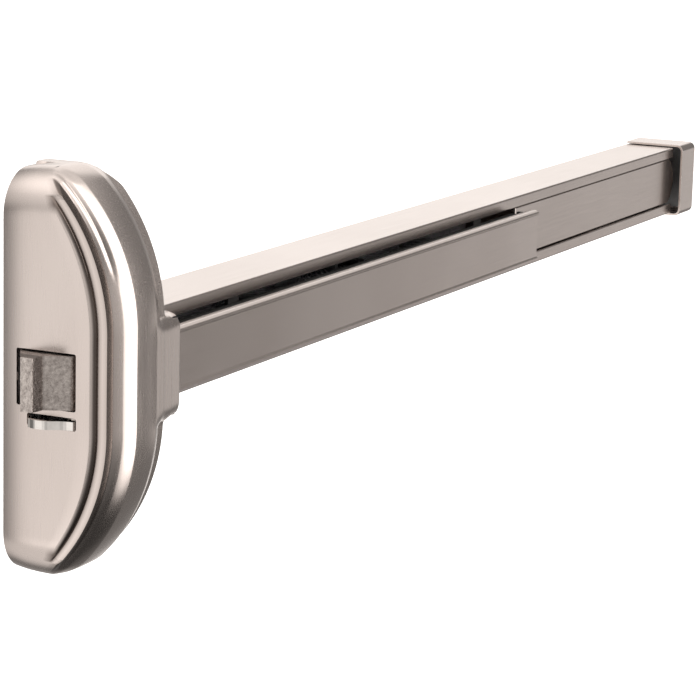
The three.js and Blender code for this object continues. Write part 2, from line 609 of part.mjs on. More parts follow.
const CORE_FRONT = PAD_FRONT - THIN - FIT;
const CORE_BACK = RAIL_DEPTH - SHEET - 0.1;
function padCore() {
  const shell = box(PAD_START + 4, PAD_END - 4, -CORE_FRONT, -CORE_BACK, -CORE_HALF, CORE_HALF);
  const half = CORE_HALF - 2;
  const room = box(PAD_START + 3, PAD_END - 3, -(CORE_FRONT - 2), -CORE_BACK + 1, -half, half);
  return cut(shell, room);
}
add('pad_core', padCore(), 'black');
[[PAD_START + 0.4, PAD_START + 3.6], [PAD_END - 3.6, PAD_END - 0.4]].forEach(([x0, x1], i) => {
  const half = PAD_HALF - 2;
  add(`pad_end_plug_${SIDES[i]}`, box(x0, x1, -CORE_FRONT, -RAIL_DEPTH - 1.5, -half, half), 'black');
});

const CORE_SEAT = -(CORE_FRONT - 2 - FIT);
function padBracket(x) {
  const pinX = x - PAD_ARM;
  const pinY = CRANK_Y - PAD_TRAVEL / 2;
  const foot = box(pinX - 7, pinX + 7, CORE_SEAT, CORE_SEAT + 1.5, -9, 9);
  const cheeks = [[4, 6], [-6, -4]].map(([z0, z1]) => join(
    box(pinX - 3.6, pinX + 3.6, CORE_SEAT, pinY, z0, z1),
    post(pinX, pinY, 3.6, z0, z1),
  ));
  return cut(join(foot, ...cheeks), post(pinX, pinY, PIN_R + PIN_FIT, -8, 8));
}

// The guide sits inside the core, and its wings run behind the rail's lips.
function padGuide(x) {
  const wingBack = -(CORE_BACK - FIT - 2.4);
  const wingFront = -(CORE_BACK - FIT);
  const cheek = CORE_HALF - 2 - FIT;
  const wing = RAIL_HALF - SHEET - 1;
  const foot = box(x - 6, x + 6, CORE_SEAT, CORE_SEAT + 1.5, -cheek, cheek);
  const walls = [[cheek - 1.8, cheek, wing], [-cheek, -cheek + 1.8, -wing]].map(([z0, z1, out]) => join(
    box(x - 6, x + 6, CORE_SEAT, wingBack, z0, z1),
    box(x - 6, x + 6, wingFront, wingBack, Math.min(z0, out), Math.max(z1, out)),
  ));
  return join(foot, ...walls);
}
CRANK_X.forEach((x, i) => {
  add(`pad_bracket_${SIDES[i]}`, padBracket(x), 'zinc');
  add(`pad_pin_${SIDES[i]}`, post(x - PAD_ARM, CRANK_Y - PAD_TRAVEL / 2, PIN_R, -6.8, 6.8), 'steel');
});
GUIDE_X.forEach((x, i) => add(`pad_guide_${SIDES[i]}`, padGuide(x), 'black'));

// ---- filler, end bracket and end cap -------------------------------------------------------------------

function fillerPlate() {
  const reach = (FILLER_HALF ** 2 + FILLER_SAG ** 2) / (2 * FILLER_SAG);
  const sweep = Math.asin(FILLER_HALF / reach);
  const shape = new THREE.Shape();
  shape.moveTo(FILLER_START, -FILLER_HALF);
  shape.absarc(FILLER_END - reach, 0, reach, -sweep, sweep);
  shape.lineTo(FILLER_START, FILLER_HALF);
  return panel(shape, -FILLER_FRONT, -FILLER_FRONT + SHEET, 10);
}
add('filler_plate', fillerPlate(), 'satin');
[FILLER_START + 59, FILLER_END - 87.5].forEach((x, i) => {
  const half = FILLER_HALF - 2.9;
  const seat = -FILLER_FRONT + SHEET + FIT;
  const legs = box(x, x + 16, seat, -(SHEET + FIT), -half, half);
  const room = box(x - 1, x + 17, seat + 1.6, 0, -half + 1.6, half - 1.6);
  add(`filler_clip_${SIDES[i]}`, cut(legs, room), 'black');
});

const CAP_SCREW_Y = -22;
const CAP_SCREW_Z = 13;
const END_WALL = CAP_END - THIN - FIT;
function endBracket() {
  const foot = box(RAIL_END + FIT, END_WALL, -3, 0, -(CAP_HALF - THIN - 0.8), CAP_HALF - THIN - 0.8);
  const half = RAIL_HALF - 5.2;
  const tongue = box(RAIL_END - 28, RAIL_END + 4, -(SHEET + FIT + 3), -(SHEET + FIT), -half, half);
  const wallHalf = CAP_HALF - THIN - 2;
  const wall = box(END_WALL - 3, END_WALL, -(CAP_DEPTH - THIN - 2), -2, -wallHalf, wallHalf);
  const holes = [-CAP_SCREW_Z, CAP_SCREW_Z].map((z) => barX(CAP_SCREW_Y, z, 1.6, END_WALL - 5, END_WALL + 1));
  return cut(join(foot, tongue, wall), ...holes);
}
add('end_bracket', endBracket(), 'zinc');

function capSection(inset, back) {
  const half = CAP_HALF - inset;
  const front = -(CAP_DEPTH - inset);
  const r = CAP_CORNER - inset;
  const shape = new THREE.Shape();
  shape.moveTo(back, -half);
  shape.lineTo(back, half);
  shape.lineTo(front + r, half);
  shape.absarc(front + r, half - r, r, Math.PI / 2, Math.PI);
  shape.absarc(front + r, -half + r, r, Math.PI, Math.PI * 1.5);
  return shape;
}
const capShell = section(capSection(0, 0), CAP_START, CAP_END, 6);
const capRoom = section(capSection(THIN, 1), CAP_START - 1, CAP_END - THIN, 6);
const capHoles = [-CAP_SCREW_Z, CAP_SCREW_Z].map((z) => barX(CAP_SCREW_Y, z, 1.8, CAP_END - 4, CAP_END + 1));
add('end_cap', cut(capShell, capRoom, ...capHoles), 'satin');
for (const [name, z] of [['end_cap_screw_upper', CAP_SCREW_Z], ['end_cap_screw_lower', -CAP_SCREW_Z]]) {
  add(name, screwX(CAP_END + FIT + 2, CAP_SCREW_Y, z, 3, 1.5, 8.5), 'bright');
}

export default group;
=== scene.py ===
import bpy
import bmesh
import json
import math
import numpy as np
from mathutils import Matrix, Vector


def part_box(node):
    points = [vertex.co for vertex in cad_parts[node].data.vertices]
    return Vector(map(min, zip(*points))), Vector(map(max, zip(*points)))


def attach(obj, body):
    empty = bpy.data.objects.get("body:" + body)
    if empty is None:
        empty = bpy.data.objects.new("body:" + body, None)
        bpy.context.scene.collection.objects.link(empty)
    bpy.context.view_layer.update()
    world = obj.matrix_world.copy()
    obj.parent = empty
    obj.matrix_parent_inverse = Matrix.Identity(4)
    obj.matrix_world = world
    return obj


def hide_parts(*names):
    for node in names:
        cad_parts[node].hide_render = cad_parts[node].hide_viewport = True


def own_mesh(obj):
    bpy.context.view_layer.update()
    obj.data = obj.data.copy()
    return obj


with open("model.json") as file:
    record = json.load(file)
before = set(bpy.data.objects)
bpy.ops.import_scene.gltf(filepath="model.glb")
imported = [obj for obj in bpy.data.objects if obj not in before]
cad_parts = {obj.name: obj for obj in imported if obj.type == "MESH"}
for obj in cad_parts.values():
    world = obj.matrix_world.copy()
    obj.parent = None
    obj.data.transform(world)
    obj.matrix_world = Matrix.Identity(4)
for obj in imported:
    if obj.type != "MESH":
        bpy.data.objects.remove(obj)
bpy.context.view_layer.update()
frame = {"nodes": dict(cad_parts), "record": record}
MM = 0.001


# ---- camera, in the photograph's view --------------------------------------------------------------------

def make_camera():
    yaw, pitch, roll = math.radians(25.675), math.radians(11.404), math.radians(1.46)
    view = Vector((math.cos(pitch) * math.cos(yaw), math.cos(pitch) * math.sin(yaw), -math.sin(pitch)))
    right = Vector((math.sin(yaw), -math.cos(yaw), 0))
    up = Vector((math.sin(pitch) * math.cos(yaw), math.sin(pitch) * math.sin(yaw), math.cos(pitch)))
    side = right * math.cos(roll) + up * math.sin(roll)
    top = up * math.cos(roll) - right * math.sin(roll)
    data = bpy.data.cameras.new("camera")
    data.sensor_width = 36
    data.lens = 145.22
    data.clip_start, data.clip_end = 0.05, 60
    cam = bpy.data.objects.new("camera", data)
    bpy.context.collection.objects.link(cam)
    place = Matrix((side, top, -view)).transposed().to_4x4()
    place.translation = Vector((-1.1969, -0.7522, 0.2953))
    cam.matrix_world = place
    bpy.context.scene.camera = cam


make_camera()


# ---- materials -------------------------------------------------------------------------------------------

class Nodes:
    """A short way to build one material's node tree."""

    def __init__(self, name):
        self.mat = bpy.data.materials.new(name)
        self.mat.use_nodes = True
        self.tree = self.mat.node_tree
        self.tree.nodes.clear()
        self.out = self.tree.nodes.new("ShaderNodeOutputMaterial")
        self.shader = self.tree.nodes.new("ShaderNodeBsdfPrincipled")
        self.wire(self.shader.outputs[0], self.out.inputs[0])
        self.coords = self.tree.nodes.new("ShaderNodeTexCoord").outputs["Object"]

    def wire(self, a, b):
        self.tree.links.new(a, b)

    def noise(self, scale, stretch=(1, 1, 1), detail=3, rough=0.5):
        mapping = self.tree.nodes.new("ShaderNodeMapping")
        mapping.inputs["Scale"].default_value = stretch
        self.wire(self.coords, mapping.inputs[0])
        node = self.tree.nodes.new("ShaderNodeTexNoise")
        node.inputs["Scale"].default_value = scale
        node.inputs["Detail"].default_value = detail
        node.inputs["Roughness"].default_value = rough
        self.wire(mapping.outputs[0], node.inputs[0])
        return node.outputs[0]

    def span(self, value, low, high, out_low, out_high):
        node = self.tree.nodes.new("ShaderNodeMapRange")
        ends = {"From Min": low, "From Max": high, "To Min": out_low, "To Max": out_high}
        for key, number in ends.items():
            node.inputs[key].default_value = number
        self.wire(value, node.inputs[0])
        return node.outputs[0]

    def mix(self, factor, first, second):
        node = self.tree.nodes.new("ShaderNodeMix")
        node.data_type = "RGBA"
        node.inputs[6].default_value = (*first, 1)
        node.inputs[7].default_value = (*second, 1)
        self.wire(factor, node.inputs[0])
        return node.outputs[2]

    def bump(self, height, strength, distance, normal=None):
        node = self.tree.nodes.new("ShaderNodeBump")
        node.inputs["Strength"].default_value = strength
        node.inputs["Distance"].default_value = distance
        self.wire(height, node.inputs["Height"])
        if normal:
            self.wire(normal, node.inputs["Normal"])
        return node.outputs[0]

    def set(self, **values):
        for key, value in values.items():
            self.shader.inputs[key.replace("_", " ")].default_value = value


# Painted shade: the dark colour laid into the cover's grooves and crease, standing in for the shade that
# falls in them.
GROOVE_SHADE = (0.17, 0.14, 0.125)
FACET_SHADE = (-0.0472, -0.0464, -0.0405, -0.0388)   # x, in metres, where the painted shade on the latch's dark facet starts and ends


def brushed(name, light, dark, rough, stretch):
    """Satin metal with fine streaks, cloudy patches and painted shade where the mesh's recess attribute
    says.
    """
    n = Nodes(name)
    n.set(Metallic=1.0)
    streaks = n.noise(240, stretch, 3, 0.5)
    patches = n.noise(9, (1, 1, 1), 2, 0.5)
    metal = n.mix(n.span(patches, 0.35, 0.7, 0, 1), light, dark)
    # Painted shade in the grooves, read from the recess attribute.
    groove_shade_attr = n.tree.nodes.new("ShaderNodeAttribute")
    groove_shade_attr.attribute_name = "recess"
    groove_shaded = n.mix(groove_shade_attr.outputs["Fac"], light, GROOVE_SHADE)
    n.wire(metal, groove_shaded.node.inputs[6])
    n.wire(groove_shaded, n.shader.inputs["Base Color"])
    n.wire(n.span(streaks, 0.3, 0.7, rough - 0.02, rough + 0.03), n.shader.inputs["Roughness"])
    n.wire(n.bump(streaks, 0.012, 0.0004), n.shader.inputs["Normal"])
    return n.mat


def cast(name):
    """Rough cast metal, with painted shade darkening the latch's slanted facet between its nose and its
    ramp.
    """
    n = Nodes(name)
    n.set(Metallic=1.0)
    coarse = n.noise(430, (1, 1, 1), 5, 0.6)
    fine = n.noise(2600, (1, 1, 1), 2, 0.5)
    metal = n.mix(n.span(coarse, 0.35, 0.65, 0, 1), (0.34, 0.30, 0.28), (0.60, 0.545, 0.51))
    # Painted shade: a band of x across the latch's slanted facet is darkened towards near black.
    split = n.tree.nodes.new("ShaderNodeSeparateXYZ")
    n.wire(n.coords, split.inputs[0])
    both = n.tree.nodes.new("ShaderNodeMath")
    both.operation = "MULTIPLY"
    n.wire(n.span(split.outputs[0], FACET_SHADE[0], FACET_SHADE[1], 0, 0.85), both.inputs[0])
    n.wire(n.span(split.outputs[0], FACET_SHADE[2], FACET_SHADE[3], 1, 0), both.inputs[1])
    facet = n.mix(both.outputs[0], (0, 0, 0), (0.10, 0.085, 0.078))
    n.wire(metal, facet.node.inputs[6])
    n.wire(facet, n.shader.inputs["Base Color"])
    n.wire(n.span(fine, 0.3, 0.7, 0.24, 0.34), n.shader.inputs["Roughness"])
    first = n.bump(coarse, 0.4, 0.0008)
    n.wire(n.bump(fine, 0.2, 0.0003, first), n.shader.inputs["Normal"])
    return n.mat


def plain(name, light, dark, metal, rough, scale, bump):
    n = Nodes(name)
    n.set(Metallic=metal)
    grain = n.noise(scale, (1, 1, 1), 4, 0.55)
    n.wire(n.mix(n.span(grain, 0.35, 0.65, 0, 1), light, dark), n.shader.inputs["Base Color"])
    n.wire(n.span(grain, 0.3, 0.7, rough - 0.05, rough + 0.06), n.shader.inputs["Roughness"])
    n.wire(n.bump(grain, bump, 0.0003), n.shader.inputs["Normal"])
    return n.mat


WARM, WARM_DARK = (0.67, 0.60, 0.565), (0.62, 0.55, 0.515)
COVER = brushed("satin_cover", WARM, WARM_DARK, 0.25, (6, 6, 0.25))
RAIL = brushed("satin_rail", WARM, WARM_DARK, 0.24, (0.12, 6, 6))
CAST = cast("cast_latch")
BRIGHT = plain("polished", (0.80, 0.77, 0.74), (0.74, 0.71, 0.68), 1.0, 0.09, 300, 0.01)
ZINC = plain("zinc_plate", (0.56, 0.57, 0.58), (0.48, 0.49, 0.50), 1.0, 0.38, 160, 0.06)
STEEL = plain("machined_steel", (0.46, 0.46, 0.47), (0.38, 0.38, 0.39), 1.0, 0.33, 500, 0.04)
BLACK = plain("black_plastic", (0.018, 0.017, 0.016), (0.028, 0.026, 0.025), 0.0, 0.5, 900, 0.12)
RUBBER = plain("rubber", (0.020, 0.020, 0.020), (0.030, 0.030, 0.030), 0.0, 0.8, 700, 0.2)
WIRE = plain("spring_wire", (0.34, 0.34, 0.35), (0.26, 0.26, 0.27), 1.0, 0.28, 800, 0.04)
LOOK = {"satin_steel": RAIL, "cast_steel": CAST, "polished_steel": BRIGHT, "plated_sheet": ZINC,
        "plain_steel": STEEL, "black_plastic": BLACK, "rubber": RUBBER, "spring_steel": WIRE}


# ---- mesh helpers ----------------------------------------------------------------------------------------

def smooth(value, low, high):
    """Rises from 0 at low to 1 at high with no corner at either end."""
    t = np.clip((value - low) / (high - low), 0, 1)
    return t * t * (3 - 2 * t)


def make(name, verts, faces, material, soft=True):
    mesh = bpy.data.meshes.new(name)
    mesh.from_pydata([tuple(c * MM for c in v) for v in verts], [], faces)
    mesh.update()
    bm = bmesh.new()
    bm.from_mesh(mesh)
    bmesh.ops.recalc_face_normals(bm, faces=bm.faces)
    bm.to_mesh(mesh)
    bm.free()
    mesh.polygons.foreach_set("use_smooth", [soft] * len(mesh.polygons))
    obj = bpy.data.objects.new(name, mesh)
    bpy.context.collection.objects.link(obj)
    obj.data.materials.append(material)
    return obj


def loft(name, loops, material):
    """A closed solid through loops of equal length, with its first and last loop filled."""
    n = len(loops[0])
    verts = [v for loop in loops for v in loop]
    faces = [(k * n + i, k * n + (i + 1) % n, (k + 1) * n + (i + 1) % n, (k + 1) * n + i)
             for k in range(len(loops) - 1) for i in range(n)]
    faces.append(tuple(range(n))[::-1])
    faces.append(tuple((len(loops) - 1) * n + i for i in range(n)))
    return make(name, verts, faces, material)


def circle(a, b, radius, sides):
    """Points of a circle round a, b."""
    return [(a + math.cos(t) * radius, b + math.sin(t) * radius)
            for t in np.linspace(0, 2 * math.pi, sides, endpoint=False)]


def rounded(points, radii, steps=4):
    """A closed outline with each corner rounded by its radius."""
    out = []
    count = len(points)
    for i, (point, r) in enumerate(zip(points, radii)):
        p = np.array(point, float)
        a = np.array(points[i - 1], float) - p
        b = np.array(points[(i + 1) % count], float) - p
        ua, ub = a / np.linalg.norm(a), b / np.linalg.norm(b)
        half = math.acos(max(-1, min(1, float(ua @ ub)))) / 2
        if r <= 0 or half > math.radians(88):
            out.append(tuple(p))
            continue
        reach = r / math.tan(half)
        middle = p + (ua + ub) / np.linalg.norm(ua + ub) * (r / math.sin(half))
        start, end = p + ua * reach - middle, p + ub * reach - middle
        turn = math.atan2(start[0] * end[1] - start[1] * end[0], float(start @ end))
        for s in range(steps + 1):
            c, d = math.cos(turn * s / steps), math.sin(turn * s / steps)
            out.append((middle[0] + c * start[0] - d * start[1], middle[1] + d * start[0] + c * start[1]))
    return out


def bevel(obj, width, segments=3, angle=30, harden=True):
    mod = obj.modifiers.new("edges", "BEVEL")
    mod.width = width * MM
    mod.segments = segments
    mod.limit_method = "ANGLE"
    mod.angle_limit = math.radians(angle)
    mod.harden_normals = harden
    return mod


def even(obj):
    """Keeps the shading of flat faces flat beside their rounded edges."""
    mod = obj.modifiers.new("even", "WEIGHTED_NORMAL")
    mod.weight = 90
    mod.keep_sharp = True


def cut_out(obj, *cutters):
    for cutter in cutters:
        mod = obj.modifiers.new("cut", "BOOLEAN")
        mod.operation = "DIFFERENCE"
        mod.solver = "EXACT"
        mod.object = cutter
    depsgraph = bpy.context.evaluated_depsgraph_get()
    result = bpy.data.meshes.new_from_object(obj.evaluated_get(depsgraph))
    obj.modifiers.clear()
    obj.data = result
    result.set_sharp_from_angle(angle=math.radians(32))
    for cutter in cutters:
        bpy.data.objects.remove(cutter)


def block(x0, x1, y0, y1, z0, z1):
    corners = [(y0, z0), (y1, z0), (y1, z1), (y0, z1)]
    return loft("cutter", [[(x, y, z) for y, z in corners] for x in (x0, x1)], ZINC)


def drill(y, z, radius, x0, x1, sides):
    """A round cutter along x."""
    return loft("cutter", [[(x, a, b) for a, b in circle(y, z, radius, sides)] for x in (x0, x1)], ZINC)


def claim(obj, body, slot, *nodes):
    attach(obj, body)
    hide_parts(*nodes)


def mm_box(node):
    """The corners of a CAD node's box, in millimetres."""
    low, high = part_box(node)
    return [c / MM for c in low], [c / MM for c in high]


# ---- head cover ------------------------------------------------------------------------------------------

cover_lo, cover_hi = mm_box("head_cover")
HALF_W = -cover_lo[0]
TOP = cover_hi[2]
DEPTH = -cover_lo[1]
NECK_END = cover_hi[0]
CORNER = 24.0
NECK_HALF = 27.3
NECK_FALL = 3.2        # the neck's end lies this far below the cover's crown
NECK_EDGE = 8.5        # rounding of the neck's long edges
ROLL_START, ROLL_TURN, ROLL_END = 9.5, 17.6, 21.4
CROWN = 0.4
WALL = 1.8
BOW_FLAT, BOW_R = 24, 103
TUCK, TUCK_DEPTH = 1.5, 17    # the latch side draws in by this much, over this depth from the door
# Steps of the front beside the roll: where each starts and ends across the cover, and how far it goes down.
LEDGE_END, BEAD_START, BEAD_END = 28.3, 28.7, 30.1
STEPS = [(ROLL_END, 22.0, 0.45), (22.0, 28.2, -0.25), (LEDGE_END, BEAD_START, 4.9),
         (BEAD_START, BEAD_END, 0.3), (BEAD_END, HALF_W, 1.9)]
CREASE = 18.2          # the crease along the roll's upper part, across the cover
CREASE_FADE = (47, 68)  # the crease fades in between these heights


def bow(z):
    """Depth of the bowed front below its middle, at height z."""
    past = np.maximum(0, np.abs(z) - BOW_FLAT)
    return BOW_R - np.sqrt(BOW_R ** 2 - past ** 2)


def arc_drop(x, x0, x1, slope0, slope1):
    """Drop of an arc from x0 to x1 whose slope grows from slope0 to slope1, in degrees."""
    s0, s1 = math.sin(math.radians(slope0)), math.sin(math.radians(slope1))
    radius = (x1 - x0) / (s1 - s0)
    along = np.clip(x - x0, 0, x1 - x0)
    return radius * (math.cos(math.radians(slope0)) - np.sqrt(1 - (s0 + along / radius) ** 2))


def roll_drop(x):
    """Depth below the crown of the front and of the roll beside it."""
    crown = CROWN * np.minimum(1, x / ROLL_START) ** 2
    return crown + arc_drop(x, ROLL_START, ROLL_TURN, 15, 28) + arc_drop(x, ROLL_TURN, ROLL_END, 31, 43)


def front_drop(x, z):
    """Crown, roll, inner groove, bead, outer groove and the side's edge, from the middle outwards."""
    x = np.abs(x)
    drop = roll_drop(x)
    for start, end, depth in STEPS:
        drop += depth * np.clip((x - start) / (end - start), 0, 1)
    return drop + 0.9 * smooth(z, *CREASE_FADE) * np.exp(-((x - CREASE) / 1.25) ** 2)


def recess(x, z):
    """How far a point of the front lies in one of the two grooves or in the crease, where painted shade
    darkens the metal.
    """
    x = np.abs(x)
    inner = smooth(x, 21.2, 22.6) * (1 - smooth(x, 28.0, 28.5))
    outer = smooth(x, 28.5, 28.8) * (1 - smooth(x, 30.6, 31.9))
    crease = 0.35 * smooth(z, *CREASE_FADE) * np.exp(-((x - CREASE) / 1.0) ** 2)
    return inner + outer + crease


def half_width(z, side, inset=0.0):
    """Half width of the cover at height z; side 1 has the neck over the rail."""
    z = abs(z)
    r = CORNER - inset
    past = max(0.0, z - (TOP - CORNER))
    width = HALF_W - inset - (r - math.sqrt(max(0.0, r * r - past * past)))
    if side > 0:
        neck = NECK_HALF - inset
        if z <= neck:
            return NECK_END - inset
        reach = 5.0
        if z < neck + reach:
            t = (z - neck) / reach
            width = max(width, HALF_W - inset + (NECK_END - HALF_W) * (1 - t) ** 2 * 0.45)
    return width


def outline(inset):
    """The cover's outline seen from the front, as a fine closed polyline."""
    tall = TOP - inset
    zs = np.concatenate([np.linspace(-tall, -tall + 26, 60), np.linspace(-tall + 27, tall - 27, 240),
                         np.linspace(tall - 26, tall, 60)])
    zs = np.sort(np.concatenate([zs, [-(NECK_HALF - inset) - 1e-4, NECK_HALF - inset + 1e-4]]))
    right = [(half_width(z, 1, inset), z) for z in zs]
    left = [(-half_width(z, -1, inset), z) for z in zs[::-1]]
    return np.array(right + left)


def edge_distance(points, line):
    """Distance of each point to the outline, and how far the nearest side faces up or down."""
    a, b = line, np.roll(line, -1, axis=0)
    ab = b - a
    length = np.maximum((ab ** 2).sum(1), 1e-12)
    best = np.full(len(points), 1e9)
    tilt = np.zeros(len(points))
    for i in range(len(a)):
        t = np.clip(((points - a[i]) @ ab[i]) / length[i], 0, 1)
        gap = np.linalg.norm(points - (a[i] + t[:, None] * ab[i]), axis=1)
        nearer = gap < best - 1e-9
        best[nearer] = gap[nearer]
        tilt[nearer] = abs(ab[i][0]) / math.sqrt(length[i])
    return best, tilt


def neck_depth(x, z):
    """Depth of the neck's front, which falls towards the rail and rounds off above and below."""
    run = np.clip((x - ROLL_START) / (NECK_END - ROLL_START), 0, 1)
    crown = DEPTH - CROWN - NECK_FALL * run ** 1.2
    over = np.clip(np.abs(z) - (NECK_HALF - NECK_EDGE), 0, NECK_EDGE - 0.1)
    beyond = np.maximum(0, np.abs(z) - (NECK_HALF - 0.1))
    return crown - (NECK_EDGE - np.sqrt(NECK_EDGE ** 2 - over ** 2)) * 0.75 - beyond * 3


def cover_depth(x, z):
    """Depth of the cover's front from the door, with the neck blended softly into it."""
    base = DEPTH - bow(z) - front_drop(x, z)
    neck = neck_depth(x, z)
    soft = 1.6
    gap = np.clip((neck - base) / soft, -8, 8)
    blended = base + soft * np.log1p(np.exp(gap))
    weight = smooth(x, ROLL_START - 6, ROLL_START + 8)
    return base + (blended - base) * weight


# Places of the cover's mesh lines, from the middle outwards, close together where the front bends.
COLUMNS = [0, 3, 6, 8, 9, 9.5, 10, 11, 12.5, 14, 15.2, 16.1, 16.8, 17.3, 17.6, 17.9, 18.3, 18.8, 19.4,
           20.1, 20.8, 21.25, 21.4, 21.7, 22.0, 22.4, 22.9, 23.5, 24.1, 24.7, 25.2, 25.7, 26.1, 26.5,
           26.9, 27.3, 27.6, 27.9, 28.1, 28.2, 28.3, 28.4, 28.5, 28.6, 28.7, 28.9, 29.2, 29.6, 29.95,
           30.1, 30.4, 30.8, 31.2, 31.6, 31.85, 32]
NECK_COLUMNS = [32.5, 33.5, 35, 36.5, 37.8, 38.7, 39.3, 39.7, 39.9, 40]
ROWS = [0, 4, 8, 12, 15, 17, 18.8, 20.5, 22, 23.4, 24.6, 25.6, 26.3, 26.8, 27.1, 27.3, 27.5, 27.8, 28.2,
        28.8, 29.5, 30.3, 31.2, 32.3, 34, 36.5]
ROWS += list(range(39, 76, 3))
ROWS += [77.5, 80, 82, 84]
ROWS += [84 + 0.5 * i for i in range(1, 33)]
ROWS += [100.5, 101, 101.5, 102, 102.5, 103, 103.4, 103.8, 104.1, 104.35, 104.55, 104.7]
# Rings of mesh points down the cover's sides, as shares of the front's depth.
SKIRT = (0.85, 0.6, 0.4, 0.28, 0.2, 0.14, 0.09, 0.05, 0.02, 0.0)


def cover_grid(inset):
    """Rows of x and z across the cover, from the latch side to the rail side."""
    rows = []
    scale = (TOP - inset) / ROWS[-1]
    heights = [-z for z in ROWS[:0:-1]] + ROWS
    for z in heights:
        z = z * scale
        left = half_width(z, -1, inset)
        right = half_width(z, 1, inset)
        row = []
        for x in COLUMNS[:0:-1]:
            x = x * (HALF_W - inset) / HALF_W
            row.append(-min(x, max(left - 0.35 * (HALF_W - inset - x), left * x / (HALF_W - inset))))
        full = NECK_END - inset
        for x in COLUMNS + [HALF_W + (c - 32) * (NECK_END - HALF_W) / 8 for c in NECK_COLUMNS]:
            x = x * full / NECK_END
            row.append(min(x, max(right - 0.1 * (full - x), right * x / full)))
        rows.append([(x, z) for x in row])
    return np.array(rows)


def cover_surface(inset):
    """The mesh grid and the front's depth at each of its points; an inset of the wall gives the inside."""
    grid = cover_grid(inset)
    flat = grid.reshape(-1, 2)
    depth = cover_depth(flat[:, 0], flat[:, 1])
    gap, tilt = edge_distance(flat, outline(inset))
    radius = 1.0 + 6.5 * smooth(tilt, 0.25, 0.95) * (1 - 0.8 * smooth(np.abs(flat[:, 0]), 12, 22))
    neck = (flat[:, 0] > HALF_W - 4) & (np.abs(flat[:, 1]) < NECK_HALF + 6)
    radius[neck] = 1.2 + 2.2 * smooth(tilt[neck], 0.3, 0.9)
    inside = np.clip(radius - gap, 0, radius)
    depth = depth - (radius - np.sqrt(np.maximum(0, radius ** 2 - inside ** 2)))
    if inset:
        out = np.abs(flat[:, 0])
        calm = DEPTH - bow(flat[:, 1]) - roll_drop(out) - 7.2 * smooth(out, 19, 27.5)
        in_neck = (np.abs(flat[:, 1]) < NECK_HALF - inset + 0.5) & (flat[:, 0] > 4)
        calm = np.where(in_neck, np.maximum(calm, neck_depth(flat[:, 0], flat[:, 1] * 0.9)), calm)
        depth = np.minimum(calm, depth + 0.5) - inset
    return grid, depth.reshape(grid.shape[:2])


def cover_shell():
    """The outer and inner fronts with skirts down to the door, joined along the door edge."""
    verts, faces, rims = [], [], []
    for inset in (0.0, WALL):
        grid, depth = cover_surface(inset)
        rows, cols = depth.shape
        start = len(verts)
        for i in range(rows):
            for j in range(cols):
                verts.append((grid[i, j, 0], -max(depth[i, j], 2.5), grid[i, j, 1]))
        at = np.arange(start, start + rows * cols).reshape(rows, cols).tolist()
        for i in range(rows - 1):
            for j in range(cols - 1):
                faces.append((at[i][j], at[i][j + 1], at[i + 1][j + 1], at[i + 1][j]))
        rim = at[0] + [at[i][-1] for i in range(1, rows)]
        rim += at[-1][-2::-1] + [at[i][0] for i in range(rows - 2, 0, -1)]
        edge = np.array([verts[v] for v in rim])
        along = np.roll(edge, -1, axis=0) - np.roll(edge, 1, axis=0)
        inward = np.stack([-along[:, 2], np.zeros(len(edge)), along[:, 0]], axis=1)
        inward /= np.linalg.norm(inward, axis=1)[:, None]
        for level in SKIRT:
            ring = []
            for (x, y, z), way in zip(edge, inward):
                off_door = -y * level
                tuck = 0
                if inset == 0 and x < 0:
                    tuck = TUCK * max(0, 1 - off_door / TUCK_DEPTH) ** 2
                ring.append(len(verts))
                verts.append((x + way[0] * tuck, -off_door, z + way[2] * tuck))
            for k in range(len(rim)):
                n = (k + 1) % len(rim)
                faces.append((rim[k], rim[n], ring[n], ring[k]))
            rim = ring
        rims.append(rim)
    outer, inner = rims
    for k in range(len(outer)):
        n = (k + 1) % len(outer)
        faces.append((outer[k], outer[n], inner[n], inner[k]))
    return make("cover_shell", verts, faces, COVER)


def window(y0, y1, z0, z1):
    """A cutter for an opening in the latch side with a small chamfer at its mouth."""
    def ring(x, grow):
        left, right, low, high = y0 - grow, y1 + grow, z0 - grow, z1 + grow
        corners = [(left, low), (right, low), (right, high), (left, high)]
        return [(x, y, z) for y, z in rounded(corners, [0.9 + grow] * 4, 3)]
    return loft("cutter", [ring(-HALF_W - 2, 2.2), ring(-HALF_W + 0.2, 0.0), ring(-HALF_W + 6, 0.0)], ZINC)


latch_lo, latch_hi = mm_box("latch_bolt")
trigger_bottom = mm_box("trigger")[0][2]
cover = cover_shell()
cut_out(cover, window(-42.9, -8.5, latch_lo[2] - 0.7, latch_hi[2] + 0.8),
        window(-43.1, -14.9, trigger_bottom - 0.4, -16.9),
        block(NECK_END - 6, NECK_END + 1, -(DEPTH - CROWN - NECK_FALL - WALL), 1, -25.55, 25.55),
        *[drill(-20, z, 2.3, HALF_W - 6, HALF_W + 1, 28) for z in (46, -46)])
# Painted shade: the recess attribute darkens the grooves and the crease on the latch side's front.
groove_shading = cover.data.attributes.new("recess", "FLOAT", "POINT")
spots = np.array([v.co for v in cover.data.vertices]) / MM
on_front = smooth(-spots[:, 1] - cover_depth(spots[:, 0], spots[:, 2]), -2.6, -0.6)
mask = recess(spots[:, 0], spots[:, 2]) * on_front
mask[spots[:, 0] > 0] = 0
groove_shading.data.foreach_set("value", mask)
claim(cover, "frame", "satin_steel", "head_cover")


# ---- rail, filler, pad and end cap -----------------------------------------------------------------------

def extrude_x(name, shape, x0, x1, material, ends=0.25):
    """A section in y and z run along x, with its end corners eased."""
    loops = []
    for x in (x0, x0 + ends, x1 - ends, x1):
        loops.append([(x, y, z) for y, z in shape])
    return loft(name, loops, material)


LIP_EDGE = 17.7        # half height of the rail's opening


